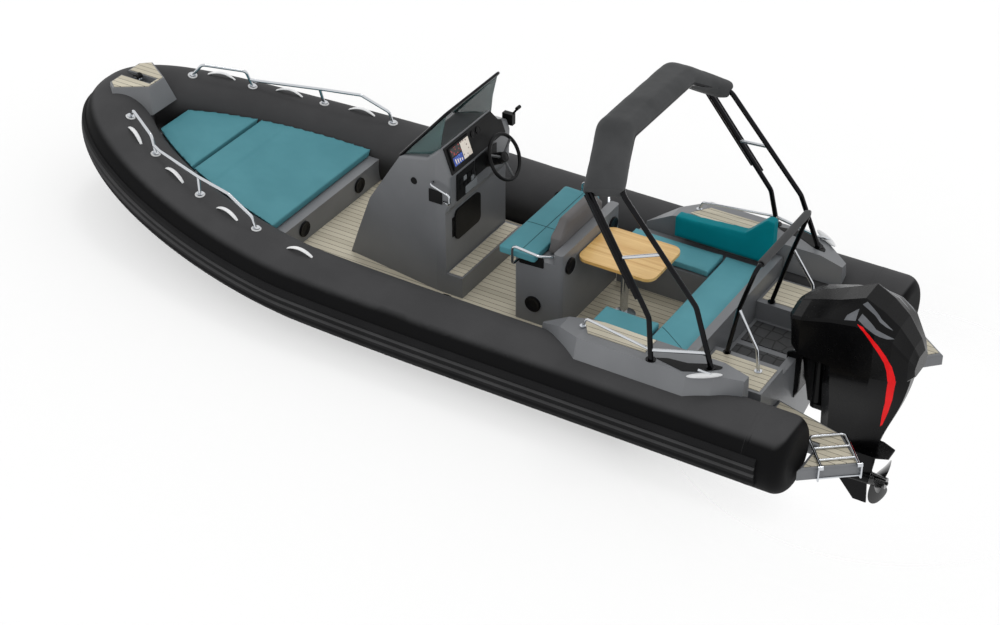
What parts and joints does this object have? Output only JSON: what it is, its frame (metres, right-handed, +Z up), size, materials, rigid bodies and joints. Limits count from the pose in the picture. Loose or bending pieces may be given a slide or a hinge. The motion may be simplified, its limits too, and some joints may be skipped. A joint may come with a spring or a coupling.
{
  "type": "rigid inflatable boat",
  "caption": "Rigid inflatable boat afloat: fat grey tubes round a deep-V hull, a console with screen, a folded awning on an arch, a stern hoop and a tilting outboard engine.",
  "frame": {"origin": "on the waterline, at the middle of the transom's aft face", "axes": "+X forward to the bow, +Y to port, +Z up"},
  "size_m": [7.1998, 2.5836, 2.8406],
  "materials": {
    "tube_fabric": "matt coated fabric",
    "strake_rubber": "matt ribbed rubber",
    "handle_grey": "satin moulded plastic",
    "grp_grey": "satin gelcoat",
    "grp_light": "satin gelcoat",
    "teak": "matt synthetic teak with dark seams",
    "mat_black": "matt moulded mat",
    "cushion_teal": "matt coated upholstery",
    "cushion_dark_teal": "matt coated upholstery",
    "stainless": "polished",
    "black_plastic": "satin",
    "bamboo": "satin varnish",
    "screen_tint": "clear tinted",
    "canvas": "woven canvas",
    "engine_black": "gloss",
    "propeller_steel": "polished"
  },
  "bodies": {
    "boat": {"tube_port": "tube_fabric", "tube_starboard": "tube_fabric", "rubbing_strakes": "strake_rubber", "grab_handles": "handle_grey", "hull": "grp_grey", "transom": "grp_grey", "stern_deck": "grp_grey", "cockpit_sole": "grp_grey", "well_mats": "mat_black", "swim_platforms": "grp_grey", "bow_step": "grp_grey", "bow_roller_bracket": "stainless", "bow_rails": "stainless", "bow_locker": "grp_grey", "bow_cushions": "cushion_teal", "console": "grp_grey", "console_footrest": "grp_grey", "dash_panel": "black_plastic", "navigation_display": "black_plastic", "switch_panel": "black_plastic", "windscreen": "screen_tint", "windscreen_rail": "stainless", "helm_column": "black_plastic", "throttle_control": "black_plastic", "console_fittings": "stainless", "helm_seat_base": "grp_grey", "helm_cushion": "cushion_teal", "helm_backrest": "cushion_teal", "helm_rails": "stainless", "table_top": "bamboo", "table_pedestal": "stainless", "stern_seat_base": "grp_grey", "stern_cushions": "cushion_teal", "seat_backrest": "cushion_dark_teal", "coamings": "grp_grey", "coaming_rails": "stainless", "teak_treads": "teak", "deck_cleats": "stainless", "roll_bar": "stainless", "awning_boot": "canvas", "awning_struts": "stainless", "stern_hoop": "stainless", "hoop_sleeve": "black_plastic", "ladder_bracket": "stainless", "loudspeakers": "black_plastic", "clamp_bracket": "engine_black"},
    "wheel": {"steering_wheel": "black_plastic"},
    "locker_hatch": {"console_hatch": "grp_light"},
    "roller": {"anchor_roller": "black_plastic"},
    "ladder": {"boarding_ladder": "stainless"},
    "tilt_bracket": {"swivel_bracket": "engine_black"},
    "engine": {"engine_cowl": "engine_black", "engine_leg": "engine_black"},
    "propeller": {"propeller": "propeller_steel"}
  },
  "joints": [
    {"name": "engine_tilt", "type": "hinge", "parent": "boat", "child": "tilt_bracket", "pos_m": [-0.01, 0, 0.426], "axis": [0, 1, 0], "range_deg": [0, 60]},
    {"name": "engine_steer", "type": "hinge", "parent": "tilt_bracket", "child": "engine", "pos_m": [-0.14, 0, 0.236], "axis": [0, 0, 1], "range_deg": [-30, 30]},
    {"name": "propeller_spin", "type": "hinge", "parent": "engine", "child": "propeller", "pos_m": [-0.671, 0, -0.5], "axis": [1, 0, 0], "continuous": true},
    {"name": "wheel_turn", "type": "hinge", "parent": "boat", "child": "wheel", "pos_m": [2.511, -0.1, 1.172], "axis": [-0.8829, 0, 0.4695], "range_deg": [-540, 540]},
    {"name": "hatch_hinge", "type": "hinge", "parent": "boat", "child": "locker_hatch", "pos_m": [2.6927, 0.3086, 0.729], "axis": [0, 0, -1], "range_deg": [0, 100]},
    {"name": "ladder_fold", "type": "hinge", "parent": "boat", "child": "ladder", "pos_m": [-0.67999, 0.85487, 0.2173], "axis": [-0.7787, -0.6274, 0], "range_deg": [0, 265]},
    {"name": "roller_spin", "type": "hinge", "parent": "boat", "child": "roller", "pos_m": [5.895, 0, 0.949], "axis": [0, 1, 0], "continuous": true}
  ],
  "couplings": [
    {"joint": "wheel_turn", "follows": "engine_steer", "ratio": -18}
  ]
}
